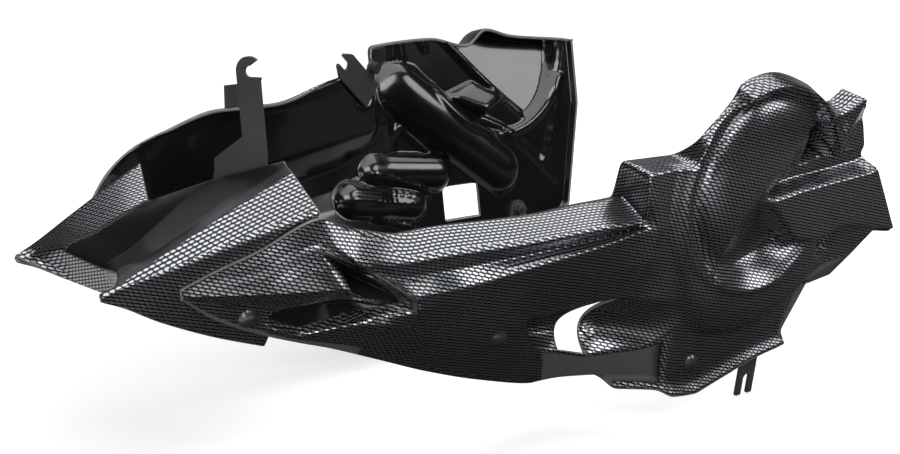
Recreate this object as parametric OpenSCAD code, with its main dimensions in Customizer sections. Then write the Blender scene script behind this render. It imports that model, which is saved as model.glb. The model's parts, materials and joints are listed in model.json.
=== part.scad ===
// Belly pan of a motorcycle: forked nose, two moulded side panels, steel stays and their fasteners.
// X runs rearwards, Y towards the bike's right side, Z up. The origin is the centre of the whole.

/* [Overall size] */
// Length from the horn tips to the rear corner of the strap
pan_length = 702; // [560:2:900]
// Width across the two rear plates, measured over the straps
pan_width = 426; // [360:2:520]
// Height of the shells from the plate lips to the tallest plate corner
shell_height = 276; // [230:2:330]

/* [Shells] */
// Thickness of the moulded sheet
wall = 3; // [2:0.1:4]
// Clearance between parts that lie on each other
fit_gap = 0.3; // [0.2:0.05:0.5]
// Depth of the rolled return along the upper edges
return_depth = 12; // [6:1:18]
// Height of the outward lip along the lower edge of the rear plates
lip_height = 10; // [5:1:14]
// Lean of the rear plates from the vertical, in degrees
plate_lean = 9; // [0:1:15]

/* [Round cover bulges] */
// Radius of the bright ridge around the left cover bulge
ring_r = 85; // [75:1:92]
// Height of the ridge above the rear plate
ring_h = 14; // [8:1:20]
// Width of the groove between the ridge and the dome
groove_w = 9; // [6:1:14]
// Depth of that groove below the ridge
groove_depth = 8; // [3:1:12]
// Height of the dome above the floor of the groove
dome_h = 14; // [6:1:18]
// Height of the strap above the rear plate
strap_h = 15; // [8:1:20]
// Radius of the half-round bulge on the right plate
right_bulge_r = 88; // [70:1:95]
// Height of that bulge
right_bulge_h = 20; // [10:1:26]

/* [Stays] */
// Thickness of the steel stays
stay_t = 3; // [2:0.1:4]
// Width of the rear and right stays
stay_w = 20; // [18:1:26]
// Width of the upright of the hook stay
hook_w = 18; // [16:1:24]
// Height of the hook stay above its lower bolt
hook_h = 92; // [70:1:120]
// Radius of the slots that take the frame bolts
slot_r = 4; // [3:0.1:5]

/* [Fasteners] */
// Radius of the screw shanks
screw_r = 3; // [2.5:0.1:4]
// Radius of the round screw heads
head_r = 7.5; // [6:0.1:9]
// Height of the round screw heads
head_h = 3.6; // [2:0.1:5]
// Radius of the washers
washer_r = 7; // [6:0.1:9]
// Thickness of the washers
washer_t = 1.2; // [0.8:0.1:2]
// Distance across the flats of the nuts
nut_af = 10; // [8.5:0.5:13]
// Thickness of the nuts
nut_t = 5; // [3:0.1:6]

/* [Hidden] */

// The control points below are written for this size and follow the driving sizes
drawn_length = 702;
drawn_width = 426;
drawn_height = 276;
sx = pan_length / drawn_length;
sy = pan_width / drawn_width;
sz = shell_height / drawn_height;
function place(x, y, z) = [x * sx, y * sy, z * sz];
function mix(a, b, t) = a + (b - a) * t;
function unit(v) = v / norm(v);
function clamp(t) = max(0, min(1, t));
function ease(t) = let (c = clamp(t)) c * c * (3 - 2 * c);
function hump(t) = abs(t) < 1 ? (1 + cos(180 * t)) / 2 : 0;
function across(p) = [p.x, -p.y, p.z];

// Side of the nose: a flat flank through the tip, the rear end of the strip and the rear lower corner
flank_tip = place(-350, -74, 9);
flank_top = place(-209, -125, 57);
flank_low = place(-232, -84, -44);
flank_n = unit(cross(flank_top - flank_tip, flank_low - flank_tip));
flank_out = flank_n * sign(-flank_n.y);
function flank(x, z, out = 0) =
    let (q = flank_tip, n = flank_out)
    [x * sx, q.y + (out - n.x * (x * sx - q.x) - n.z * (z * sz - q.z)) / n.y, z * sz];
// A point of the side panel's outer face where it lies on the nose, raised by some height
hug = wall + fit_gap;
function on_nose(x, z, rise = 0) = flank(x, z, hug + rise);

// Rear plates: planes that lean outwards to the top
plate_y = 191;
plate_z = 43;
plate_out = [0, -cos(plate_lean), -sin(plate_lean)];
function on_plate(x, z, rise = 0) =
    [x * sx, -plate_y * sy - (z - plate_z) * sz * tan(plate_lean) - rise / cos(plate_lean), z * sz];

// Height of the left plate's relief at a place on the plate
ring_x = 167;
ring_z = 43;
shoulder_w = 41;
dent_r = 24;
dent = 9;
function dome(r, r_groove) = ring_h - groove_depth + dome_h * sqrt(1 - pow(clamp(r / r_groove), 2))
    - dent * hump(r / dent_r);
function ring(r) =
    let (r_groove = ring_r - groove_w)
    r < r_groove ? dome(r, r_groove)
    : r < ring_r ? ring_h - groove_depth * hump((r - r_groove) / groove_w)
    : ring_h * sqrt(1 - pow(clamp((r - ring_r) / shoulder_w), 2));
function block_fade(x, z) = 1 - ease((ring_x - x - 60) / 30) * ease((z + 5) / 25);
strap_tip = [157, 38];
function strap_mask(x, z) =
    let (top = 44 - z, low = z - max(36 - 0.9 * (x - strap_tip.x), -6 - 8 * max(0, x - 246)))
    ease((top + 3) / 6) * ease((low + 4) / 7) * ease((x - strap_tip.x + 6) / 12);
function horn_mask(x, z) = ease((x - 246 + 0.1 * (z - 80)) / 8) * ease((z - 50) / 6);
function pocket(x, z) = -20 * hump((x - 236) / 22) * hump((z - 66) / 24);
function left_relief(x, z) =
    let (r = norm([(x - ring_x) * sx, (z - ring_z) * sz]), m = strap_mask(x, z), h = horn_mask(x, z),
        horn = 6 + 12 * (1 - clamp(abs(x - 276 + 0.55 * (z - 85)) / 34)),
        base = mix(ring(r) * block_fade(x, z), horn, h))
    mix(base + pocket(x, z) * (1 - h), strap_h, m);

// Height of the right plate's relief: half-round bulge, slanting tube pressed inwards, two ribbed pods
bulge_x = 215;
bulge_z = 132;
tube_from = [78, 100];
tube_to = [196, 0];
tube_half = 23;
tube_depth = 13;
function to_segment(p, a, b) =
    let (t = clamp(((p - a) * (b - a)) / ((b - a) * (b - a)))) norm(p - a - (b - a) * t);
function right_relief(x, z) =
    let (r = norm([(x - bulge_x) * sx, (z - bulge_z) * sz]), p = [x, z],
        bulge = right_bulge_h * ease((right_bulge_r + 8 - r) / 16),
        tube = tube_depth * hump(to_segment(p, tube_from, tube_to) / tube_half) * (1 - ease((r - 70) / -10)))
    bulge - tube;
pod_depth = 11;
pods = [[[40, 14], [118, 6], 20], [[8, -8], [84, -22], 18]];
function pod_relief(x, z) =
    -pod_depth * max([for (q = pods) sqrt(1 - pow(clamp(to_segment([x, z], q[0], q[1]) / q[2]), 2))]);

// Spreads lines evenly from the upper to the lower edge, by the number of rows between them
function running(rows, i = 0, sum = 0) =
    i == len(rows) ? [sum] : concat([sum], running(rows, i + 1, sum + rows[i]));
function spread(a, b, rows) = let (s = running(rows), e = s[len(rows)]) [for (q = s) mix(a, b, q / e)];

// Grid of points over a net of control points, one list per station, with rows and columns per span
function net_grid(net, columns, rows) =
    let (last = len(net) - 1)
    [for (k = [0:last], c = [0:(k == last ? 0 : columns[k] - 1)])
        let (t = k == last ? 0 : c / columns[k])
        [for (l = [0:len(rows)], r = [0:(l == len(rows) ? 0 : rows[l] - 1)])
            let (w = l == len(rows) ? 0 : r / rows[l], k2 = min(k + 1, last), l2 = min(l + 1, len(rows)))
            mix(mix(net[k][l], net[k2][l], t), mix(net[k][l2], net[k2][l2], t), w)]];

// Outward direction at each grid point, from its neighbours; side is 1 or -1
function at(g, i, j) = g[max(0, min(len(g) - 1, i))][max(0, min(len(g[0]) - 1, j))];
function grid_out(g, side) = [for (i = [0:len(g) - 1]) [for (j = [0:len(g[0]) - 1])
    let (c = cross(at(g, i + 1, j) - at(g, i - 1, j), at(g, i, j + 1) - at(g, i, j - 1)),
        n = norm(c)) n < 1e-6 ? [0, -side, 0] : side * c / n]];

// Grid point nearest to a place
function nearest(g, p) =
    let (d = [for (i = [1:len(g) - 2]) [for (j = [1:len(g[0]) - 2]) norm(g[i][j] - p)]],
        m = min([for (r = d) min(r)]))
    [for (i = [0:len(d) - 1]) for (j = [0:len(d[0]) - 1]) if (d[i][j] == m) [i + 1, j + 1]][0];

// A hole is [grid place, centre, outward axis, radius, reach]: the points around it move onto its circle,
// out to the reach, which is the number of columns and rows that the hole takes up on each side
function bored(g, holes) = [for (i = [0:len(g) - 1]) [for (j = [0:len(g[0]) - 1])
    let (h = [for (q = holes) if (abs(i - q[0][0]) <= q[4][0] && abs(j - q[0][1]) <= q[4][1]) q])
    len(h) == 0 ? g[i][j]
    : let (q = h[0], a = q[0][0], b = q[0][1], n = q[2], along = at(g, a + 1, b) - at(g, a - 1, b),
        e = unit(along - n * (along * n)), c = cross(n, e),
        f = c * sign(c * (at(g, a, b + 1) - at(g, a, b - 1))),
        u = (i - a) / q[4][0], v = (j - b) / q[4][1], l = norm([u, v]))
        l == 0 ? q[1] : q[1] + q[3] * (e * u + f * v) / l]];
function in_hole(holes, i, j) =
    len([for (q = holes) if (i >= q[0][0] - q[4][0] && i < q[0][0] + q[4][0]
        && j >= q[0][1] - q[4][1] && j < q[0][1] + q[4][1]) 1]) > 0;

// Closed sheet between the outer grid and the same grid one wall further in; open marks missing cells
module sheet(outer, inner, open, flip) {
    n = len(outer);
    m = len(outer[0]);
    solid = [for (i = [0:n - 2]) [for (j = [0:m - 2]) !open[i][j]]];
    function here(i, j) = i >= 0 && j >= 0 && i < n - 1 && j < m - 1 && solid[i][j];
    function o(i, j) = i * m + j;
    function q(i, j) = n * m + i * m + j;
    function turn(f) = flip ? [f[2], f[1], f[0]] : f;
    cells = [for (i = [0:n - 2], j = [0:m - 2]) if (solid[i][j]) [i, j]];
    skins = [for (c = cells) let (i = c[0], j = c[1]) each [
        [o(i, j), o(i, j + 1), o(i + 1, j + 1)], [o(i, j), o(i + 1, j + 1), o(i + 1, j)],
        [q(i, j), q(i + 1, j + 1), q(i, j + 1)], [q(i, j), q(i + 1, j), q(i + 1, j + 1)]]];
    edges = [for (c = cells) let (i = c[0], j = c[1]) each [
        if (!here(i, j - 1)) [[i, j], [i + 1, j]], if (!here(i + 1, j)) [[i + 1, j], [i + 1, j + 1]],
        if (!here(i, j + 1)) [[i + 1, j + 1], [i, j + 1]], if (!here(i - 1, j)) [[i, j + 1], [i, j]]]];
    rims = [for (e = edges) let (a = e[0], b = e[1]) each [
        [o(a[0], a[1]), o(b[0], b[1]), q(b[0], b[1])], [o(a[0], a[1]), q(b[0], b[1]), q(a[0], a[1])]]];
    used = [for (f = concat(skins, rims)) turn(f)];
    polyhedron(concat([for (r = outer) each r], [for (r = inner) each r]), used, convexity = 10);
}

function inner_of(g, out) = [for (i = [0:len(g) - 1]) [for (j = [0:len(g[0]) - 1]) g[i][j] - wall * out[i][j]]];

// Nose: from the near flank's lower edge over both horns to the far flank's lower edge
rim_near = [-200, -62, 84];
rim_far = [-252, 50, 44];
rim_dir = unit([(rim_far.x - rim_near.x) * sx, (rim_far.y - rim_near.y) * sy, 0]);
rim_back = [rim_dir.y, -rim_dir.x, 0];
rim_roll = 6;
rim_drop = 34;
nose_rows = [12, 3, 3, 6, 6, 3, 3, 12];
nose_columns = [2, 3, 4, 4, 1, 4];
function rim(t, back, drop) =
    let (p = mix(rim_near, rim_far, t)) place(p.x, p.y, p.z) + rim_back * back - [0, 0, drop];
function far(p) = across(p);
nose_net = [
    [flank(-349, 5), place(-350, -75, 8), place(-350, -72, 11), place(-318, -45, -9), place(-304, 0, -15),
        place(-318, 45, -9), place(-350, 72, 11), place(-350, 75, 8), far(flank(-349, 5))],
    [flank(-336, 0), flank(-338, 13), place(-337, -75, 16), place(-325, -46, 16), place(-313, 0, 8),
        place(-325, 46, 16), place(-337, 75, 16), far(flank(-338, 13)), far(flank(-336, 0))],
    [flank(-308, -15), flank(-306, 23.5), place(-305, -79, 33), place(-298, -48, 27), place(-292, 0, 21),
        place(-298, 48, 26), place(-304, 79, 34), far(flank(-306, 23.5)), far(flank(-308, -15))],
    [flank(-268, -32), flank(-260, 40), place(-260, -84, 56), place(-254, -54, 53), place(-257, 0, 45),
        place(-272, 48, 37), place(-272, 83, 51), far(flank(-270, 38)), far(flank(-270, -32))],
    [flank(-232, -44), flank(-209, 57), place(-209, -90, 80), rim(0, 0, 0), rim(0.52, -1, -2),
        rim(1, 0, 0), place(-240, 87, 67), far(flank(-232, 51)), far(flank(-232, -44))],
    [flank(-231, -44), flank(-208, 57), place(-208, -90, 80), rim(0, rim_roll, 2), rim(0.5, rim_roll, 2),
        rim(1, rim_roll, 2), place(-239, 87, 67), far(flank(-231, 51)), far(flank(-231, -44))],
    [flank(-230, -44), flank(-207, 57), place(-207, -90, 80), rim(0.04, rim_roll, rim_drop),
        rim(0.5, rim_roll, rim_drop), rim(0.96, rim_roll, rim_drop), place(-238, 87, 67),
        far(flank(-230, 51)), far(flank(-230, -44))]];
nose_raw = net_grid(nose_net, nose_columns, nose_rows);

// Left side panel: from the upper return over the shoulder, groove and recess to the lower edge
left_rows = [1, 4, 3, 3, 3, 5, 6, 5, 5, 1];
left_columns = [2, 3, 6, 3, 3, 3, 4, 3, 4, 4, 1, 4, 3, 5, 1, 5, 5, 4, 8, 1];
panel_rows = [for (l = [1:8]) left_rows[l]];
function inward(p, depth, drop) = p + [0, depth, -drop];
// A station of the plate between its upper edge and its lower lip, with the rolled return and the lip added
function plate_station(lines, out_x, out_z, depth) =
    concat([lines[0] + [out_x, depth, out_z]], lines, [lines[8] + [0, -lip_height / 2, -lip_height]]);
function arm_station(lines) =
    concat([inward(lines[0], return_depth, 3)], lines, [inward(lines[8], 6, 1)]);
// A station that lies on the nose ends flat on it, with no return
nose_edge = 1.5 * [0, -flank_out.z / flank_out.y, 1];
function nose_station(lines) = concat([lines[0] + nose_edge], lines, [lines[len(lines) - 1] - nose_edge]);
// Points on the circle around the left bulge, at an angle and a distance past the ridge
ring_back = 3;
function round_edge(a, past) =
    on_plate(ring_x + (ring_r + past) * cos(a) / sx, ring_z + (ring_r + past) * sin(a) / sz);
function edge_plate(top, low) = spread(top, on_plate(low.x, low.y), panel_rows);
left_net = [
    nose_station([for (z = [7, 6, 5.5, 5, 4.5, 4, 3.5, 3, 2.5]) on_nose(-298 + 0.3 * (4.5 - z), z)]),
    nose_station([on_nose(-275, 19), on_nose(-275, 15, 2), on_nose(-275, 12, 3), on_nose(-275, 9, 4),
        on_nose(-275, 6, 5), on_nose(-275, 3, 6), on_nose(-275, -4), on_nose(-275, -8), on_nose(-277, -13)]),
    nose_station([on_nose(-252, 29), on_nose(-250, 24, 4), on_nose(-248, 20, 7), on_nose(-248, 14, 9),
        on_nose(-248, 9, 12), on_nose(-247, 3, 15), on_nose(-256, -10), on_nose(-249, -19),
        on_nose(-250, -27)]),
    nose_station([on_nose(-210, 51), place(-212, -130, 36), place(-211, -131, 32), place(-211, -132, 29),
        place(-208, -135, 18), place(-202, -140, 4), place(-213, -112, -14), place(-215, -103, -34),
        place(-212, -95, -41)]),
    arm_station([place(-178, -124, 42), place(-183, -137, 20), place(-180, -133, 14), place(-177, -143, 11),
        place(-180, -128, 5), place(-184, -141, -8), place(-183, -116, -15), place(-180, -124, -29),
        place(-182, -98, -52)]),
    arm_station([place(-140, -125, 34), place(-152, -143, 16), place(-148, -138, 4), place(-148, -151, -7),
        place(-145, -150, -13), place(-144, -149, -18), place(-143, -145, -23), place(-143, -137, -33),
        place(-143, -101, -67)]),
    arm_station([place(-111, -130, 36), place(-117, -153, 18), place(-113, -143, 6), place(-112, -152, -8),
        place(-111, -148, -18), place(-110, -142, -29), place(-108, -135, -43), place(-105, -124, -60),
        place(-99, -106, -84)]),
    arm_station([place(-62, -141, 37), place(-70, -165, 20), place(-65, -154, 9), place(-63, -164, 0),
        place(-61, -157, -15), place(-60, -148, -34), place(-58, -138, -54), place(-55, -125, -76),
        place(-50, -107, -100)]),
    arm_station([place(-30, -147, 38), place(-32, -175, 23), place(-28, -164, 13), place(-28, -172, 6),
        place(-32, -160, -18), place(-37, -144, -44), place(-12, -126, -77), place(-6, -118, -92),
        place(4, -107, -113)]),
    arm_station([place(10, -154, 42), place(8, -183, 26), place(10, -172, 17), place(10, -181, 13),
        place(8, -169, -12), place(26, -159, -38), place(8, -131, -81), place(16, -123, -96),
        place(22, -113, -111)]),
    arm_station([place(46, -160, 45), place(44, -190, 28), place(46, -181, 24), place(48, -188, 21),
        place(44, -178, -8), place(42, -163, -37), place(30, -139, -86), place(40, -136, -97),
        place(50, -132, -109)]),
    plate_station([place(38, -178, 71), place(40, -196, 66), place(48, -195, 44), place(58, -191, 21),
        place(56, -183, -6), place(48, -166, -38), place(38, -142, -86), place(50, -140, -98),
        place(60, -136, -110)], 0, 2, return_depth),
    plate_station([place(72, -184, 73), on_plate(74, 67), on_plate(78, 44), on_plate(82, 21), on_plate(84, -6),
        on_plate(80, -42), place(76, -163, -81), place(80, -158, -96), place(86, -156, -111)], 0, 2, return_depth),
    plate_station([round_edge(148, 1), on_plate(96, 72), on_plate(98, 50), on_plate(100, 30),
        on_plate(104, 4), on_plate(108, -44), on_plate(103, -64), on_plate(102, -88), on_plate(100, -117)],
        0, 1, ring_back),
    plate_station(edge_plate(round_edge(118, 1), [128, -120]), 0, 1, ring_back),
    plate_station(edge_plate(round_edge(113, 7), [132, -119]), 0, 1, ring_back),
    plate_station(edge_plate(round_edge(91, 7), [162, -111]), 0, 1, ring_back),
    plate_station(edge_plate(round_edge(63, 6), [196, -102]), 0, 1, ring_back),
    plate_station(edge_plate(round_edge(40, 12), [222, -98]), 0, 1, ring_back),
    plate_station([on_plate(262, 117), on_plate(284, 105), on_plate(295, 85), on_plate(304, 48),
        on_plate(326, 17), on_plate(348, -14), on_plate(318, -34), on_plate(260, -52), on_plate(234, -96)],
        0, 2, ring_back),
    plate_station([on_plate(264, 118, -10), on_plate(287, 106, -10), on_plate(298, 86, -10),
        on_plate(307, 48, -10), on_plate(329, 17, -12), on_plate(350, -32, -22), on_plate(322, -62, -22),
        on_plate(272, -68, -22), on_plate(236, -97, -10)], 0, 2, ring_back)];

// The recess between two lines is pressed inwards behind a steep front edge and runs out to the rear;
// elsewhere the plate's relief is added. The opening lies in its floor. Stations and lines are numbered.
dish_depth = 24;
dish_edge = 8;
open_from = 9;
dish_from = 10;
dish_to = 13;
dish_line = 6;
left_starts = running(left_columns);
left_lines = running(left_rows);
function part_of(v, a, b) = (v - a) / (b - a);
function dish(i, j) =
    let (u = part_of(i, left_starts[dish_from], left_starts[dish_to]),
        v = part_of(j, left_lines[dish_line], left_lines[dish_line + 1]))
    i <= left_starts[dish_edge] || u > 1 || v <= 0 || v >= 1 ? 0 : dish_depth * sin(180 * v) * (1 - ease(u));
plate_from = 11;
function plate_share(i) = ease(part_of(i, left_starts[plate_from], left_starts[dish_to]));
left_flat = net_grid(left_net, left_columns, left_rows);
left_bare = [for (i = [0:len(left_flat) - 1]) [for (j = [0:len(left_flat[0]) - 1])
    let (p = left_flat[i][j], edge = j == 0 || i == len(left_flat) - 1,
        rise = edge ? 0 : left_relief(p.x / sx, p.z / sz) * plate_share(i))
    p + plate_out * rise + [0, dish(i, j), 0]]];
function left_opening(i, j) = i >= left_starts[open_from] && i < left_starts[dish_from]
    && j >= left_lines[dish_line] && j < left_lines[dish_line + 1];

// Right side panel: taller arm and rear plate
right_rows = [1, 9, 6, 4, 6, 1];
right_columns = [2, 6, 3, 4, 5, 8, 2, 5, 4, 3, 4, 8, 1];
function right_station(lines, depth) = concat([inward(lines[0], depth, 3 - depth / 2)], lines,
    [inward(lines[4], 5, 2)]);
function right_plate_station(lines, depth) = concat([inward(lines[0], depth, 3 - depth / 2)], lines,
    [lines[4] + [0, -lip_height / 2, -lip_height]]);
right_return = return_depth / 2;
function right_plate(x, top, z_low) =
    [for (z = [top, 50, -8, -42, z_low]) on_plate(x, z)];
right_net = [
    nose_station([for (z = [7, 5.5, 4, 3, 2.5]) on_nose(-298 + 0.3 * (4.5 - z), z)]),
    nose_station([on_nose(-252, 56), on_nose(-250, 8, 12), on_nose(-252, -10), on_nose(-252, -19),
        on_nose(-252, -27)]),
    nose_station([on_nose(-212, 74), place(-204, -141, 8), place(-212, -113, -14), place(-213, -102, -33),
        place(-210, -95, -41)]),
    right_station([place(-143, -132, 98), place(-148, -152, 16), place(-146, -145, -12),
        place(-144, -138, -30), place(-143, -101, -67)], right_return),
    right_station([place(-87, -142, 97), place(-90, -162, 19), place(-86, -156, -14), place(-84, -146, -36),
        place(-80, -106, -90)], right_return),
    right_station([place(-13, -154, 113), place(-13, -179, 24), place(-12, -166, -16), place(-10, -150, -44),
        place(8, -109, -113)], 0),
    right_station([place(44, -172, 118), place(45, -190, 40), place(46, -177, -12), place(47, -164, -44),
        place(50, -132, -110)], 0),
    right_station([on_plate(64, 135), on_plate(66, 50), on_plate(70, -10), place(72, -172, -44),
        place(76, -152, -112)], right_return),
    right_plate_station(right_plate(132, 139, -114), right_return),
    right_plate_station(right_plate(178, 130, -110), right_return),
    right_plate_station(right_plate(204, 145, -104), right_return),
    right_plate_station(right_plate(238, 137, -100), right_return),
    right_plate_station([on_plate(316, 129), on_plate(316, 62), on_plate(300, -4), on_plate(292, -42),
        on_plate(240, -98)], right_return),
    right_plate_station([on_plate(320, 130, -8), on_plate(320, 62, -8), on_plate(304, -5, -8),
        on_plate(295, -43, -8), on_plate(243, -99, -8)], 1)];
right_starts = running(right_columns);
right_lines = running(right_rows);
function right_share(i) = ease(part_of(i, right_starts[6], right_starts[8]));
right_flat = net_grid(right_net, right_columns, right_rows);
right_bare = [for (i = [0:len(right_flat) - 1]) [for (j = [0:len(right_flat[0]) - 1])
    let (p = right_flat[i][j], x = p.x / sx, z = p.z / sz,
        edge = i == len(right_flat) - 1 || j == 0)
    p + plate_out * ((edge ? 0 : right_relief(x, z) * right_share(i)) + pod_relief(x, z))]];
function right_opening(i, j) = i >= right_starts[8] && i < right_starts[9]
    && j >= right_lines[3] && j < right_lines[4];

// Places of the screws on the outer faces, each on a flat seat that fades out around the head
hole_r = screw_r + fit_gap;
moulded_hole_r = hole_r / cos(22.5);
seat_r = head_r + 4;
seat_fade = 9;
front_spot = on_nose(-249, -19);
middle_spot = place(-56, -135, -58);
rear_spot = on_plate(122, -104);
right_rear_spot = on_plate(226, -42);
fork_spot = place(31, -172.3, 99);
fork_axis = unit([-0.37, -1, 0.245]);
function spot_hole(g, out, p, n = 0, reach = [1, 1]) =
    let (k = nearest(g, p), own = n == 0) [k, own ? g[k[0]][k[1]] : p, own ? out[k[0]][k[1]] : n,
        moulded_hole_r, reach];
function seated(g, holes) = [for (r = g) [for (p = r)
    let (moves = [for (q = holes) let (d = p - q[1], h = d * q[2], far = norm(d - q[2] * h) - seat_r)
            if (far < seat_fade) q[2] * h * (1 - ease(far / seat_fade))])
    len(moves) == 0 ? p : p - moves[0]]];
left_side = grid_out(left_bare, -1);
left_holes = [spot_hole(left_bare, left_side, front_spot, flank_out, [1, 2]),
    spot_hole(left_bare, left_side, middle_spot),
    spot_hole(left_bare, left_side, rear_spot, plate_out)];
right_side = grid_out(right_bare, -1);
right_holes = [spot_hole(right_bare, right_side, front_spot, flank_out, [1, 2]),
    spot_hole(right_bare, right_side, middle_spot),
    spot_hole(right_bare, right_side, right_rear_spot, plate_out),
    spot_hole(right_bare, right_side, fork_spot, fork_axis)];
left_raw = seated(left_bare, left_holes);
right_raw = seated(right_bare, right_holes);
left_out = grid_out(left_raw, -1);
right_out = grid_out(right_raw, -1);

// Hook stay: its own plane stands on the rear face of the rim's drop; along the rim, then upwards
hook_base = place(rim_near.x, rim_near.y, 0) + rim_back * rim_roll;
rim_len = norm([(rim_far.x - rim_near.x) * sx, (rim_far.y - rim_near.y) * sy]);
function rim_z(a) = mix(rim_near.z, rim_far.z, a / rim_len) * sz;
bolt_drop = 18;
bolt_shares = [0.25, 0.5];
hook_bolts_at = bolt_shares * rim_len;
hook_left = 19;
hook_slot = [hook_left + hook_w - slot_r - 1, rim_z(0) + hook_h - 30];
nose_out = grid_out(nose_raw, 1);
nose_spot = front_spot - hug * flank_out;
nose_holes = concat([for (s = [flank_out, across(flank_out)])
        spot_hole(nose_raw, nose_out, [nose_spot.x, abs(nose_spot.y) * sign(s.y), nose_spot.z], s)],
    [for (t = bolt_shares) spot_hole(nose_raw, nose_out, rim(t, rim_roll, bolt_drop), rim_back)]);
seat = wall + fit_gap;
thread_gap = 0.1;
function ring_axes(n) = let (e = unit([1, 0, 0] - n * n.x)) [e, cross(n, e)];

module placed_sheet(raw, out, holes, open, flip) {
    g = bored(raw, holes);
    q = bored(inner_of(raw, out), [for (h = holes) [h[0], h[1] - wall * h[2], h[2], h[3], h[4]]]);
    gaps = [for (i = [0:len(g) - 2]) [for (j = [0:len(g[0]) - 2]) open[i][j] || in_hole(holes, i, j)]];
    sheet(g, q, gaps, flip);
}

module nose_panel() {
    columns = running(nose_columns);
    lines = running(nose_rows);
    open = [for (i = [0:len(nose_raw) - 2]) [for (j = [0:len(nose_raw[0]) - 2])
        i >= columns[4] && (j < lines[3] || j >= lines[5])]];
    color("dimgray") placed_sheet(nose_raw, nose_out, nose_holes, open, false);
}

module left_side_panel() {
    open = [for (i = [0:len(left_raw) - 2]) [for (j = [0:len(left_raw[0]) - 2]) left_opening(i, j)]];
    color("dimgray") placed_sheet(left_raw, left_out, left_holes, open, true);
}

module right_side_panel() {
    open = [for (i = [0:len(right_raw) - 2]) [for (j = [0:len(right_raw[0]) - 2]) right_opening(i, j)]];
    color("dimgray") mirror([0, 1, 0]) placed_sheet(right_raw, right_out, right_holes, open, true);
}

// Stands the children on a hole: Z along its outward axis, X along the panel
module on_hole(h) {
    ax = ring_axes(h[2]);
    multmatrix([for (k = [0:2]) [ax[0][k], ax[1][k], h[2][k], h[1][k]]]) children();
}

module hook_plane() {
    multmatrix([for (k = [0:2]) [rim_dir[k], k == 2 ? 1 : 0, rim_back[k], hook_base[k]]]) children();
}

// Round-headed screw: the head lies just above the outer face and has a short straight edge
head_edge = 0.2;
module screw(reach) {
    dome_r = (head_r * head_r + head_h * head_h) / (2 * head_h);
    rotate_extrude($fn = 48)
        polygon([[0, fit_gap], [head_r, fit_gap], for (a = [0:15:90])
            let (z = head_h * sin(a)) [sqrt(dome_r * dome_r - pow(z + dome_r - head_h, 2)), z + fit_gap + head_edge]]);
    translate([0, 0, fit_gap - reach]) cylinder(h = reach, r = screw_r, $fn = 32);
}

module washer(top, r = washer_r, t = washer_t) {
    translate([0, 0, top - t]) difference() {
        cylinder(h = t, r = r, $fn = 40);
        translate([0, 0, -1]) cylinder(h = t + 2, r = screw_r + thread_gap, $fn = 32);
    }
}

module nut(top) {
    translate([0, 0, top - nut_t]) difference() {
        cylinder(h = nut_t, r = nut_af / sqrt(3), $fn = 6);
        translate([0, 0, -1]) cylinder(h = nut_t + 2, r = screw_r + thread_gap, $fn = 32);
    }
}

front_stack = 2 * wall + 2 * fit_gap;
rear_stack = wall + 2 * fit_gap + stay_t;
tail = washer_t + nut_t + 2;

module left_front_screw() color("black") on_hole(left_holes[0]) screw(front_stack + tail);
module right_front_screw() color("black") mirror([0, 1, 0]) on_hole(right_holes[0]) screw(front_stack + tail);

module front_washers() {
    color("gray") on_hole(left_holes[0]) washer(-front_stack);
    color("gray") mirror([0, 1, 0]) on_hole(right_holes[0]) washer(-front_stack);
}

module front_nuts() {
    color("gray") on_hole(left_holes[0]) nut(-front_stack - washer_t);
    color("gray") mirror([0, 1, 0]) on_hole(right_holes[0]) nut(-front_stack - washer_t);
}

// Rubber sleeve inside the arm that the middle screw is drawn into
well_r = 6;
well_len = 12;
module well_nut() {
    washer(-seat, well_r, well_len);
}

module middle_screws() {
    color("black") on_hole(left_holes[1]) screw(seat + well_len - 1);
    color("black") mirror([0, 1, 0]) on_hole(right_holes[1]) screw(seat + well_len - 1);
}

module middle_well_nuts() {
    color("black") on_hole(left_holes[1]) well_nut();
    color("black") mirror([0, 1, 0]) on_hole(right_holes[1]) well_nut();
}

module left_rear_screw() color("black") on_hole(left_holes[2]) screw(rear_stack + tail);
module right_rear_screw() color("black") mirror([0, 1, 0]) on_hole(right_holes[2]) screw(rear_stack + tail);

module rear_washers() {
    color("gray") on_hole(left_holes[2]) washer(-rear_stack);
    color("gray") mirror([0, 1, 0]) on_hole(right_holes[2]) washer(-rear_stack);
}

module rear_nuts() {
    color("gray") on_hole(left_holes[2]) nut(-rear_stack - washer_t);
    color("gray") mirror([0, 1, 0]) on_hole(right_holes[2]) nut(-rear_stack - washer_t);
}

// Round slot that is open past its bolt on one side, in the direction of an angle
prong = 15;
module slot_cut(centre, a) {
    translate(centre) rotate(a) {
        circle(r = slot_r, $fn = 32);
        translate([0, -slot_r]) square([2 * prong, 2 * slot_r]);
    }
}

// Stay behind a rear plate: an arm from the screw, then a forked leg that points down
left_leg = [81 * sx, -32 * sz];
right_leg = [-20 * sx, -94 * sz];
leg_rise = 26;
module rear_stay_outline(slot) {
    knee = slot + [0, leg_rise];
    difference() {
        union() {
            hull() {
                circle(r = stay_w / 2, $fn = 40);
                translate(knee) circle(r = stay_w / 2, $fn = 40);
            }
            translate([slot.x - stay_w / 2, slot.y - prong]) square([stay_w, prong + leg_rise]);
        }
        circle(r = hole_r, $fn = 32);
        slot_cut(slot, -90);
    }
}

module stay_plate(clear = 0) {
    translate([0, 0, -seat - clear - stay_t]) linear_extrude(stay_t) children();
}

module left_rear_bracket() color("darkslategray") on_hole(left_holes[2]) stay_plate() rear_stay_outline(left_leg);
module right_rear_bracket() color("darkslategray")
    mirror([0, 1, 0]) on_hole(right_holes[2]) stay_plate() rear_stay_outline(right_leg);

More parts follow.
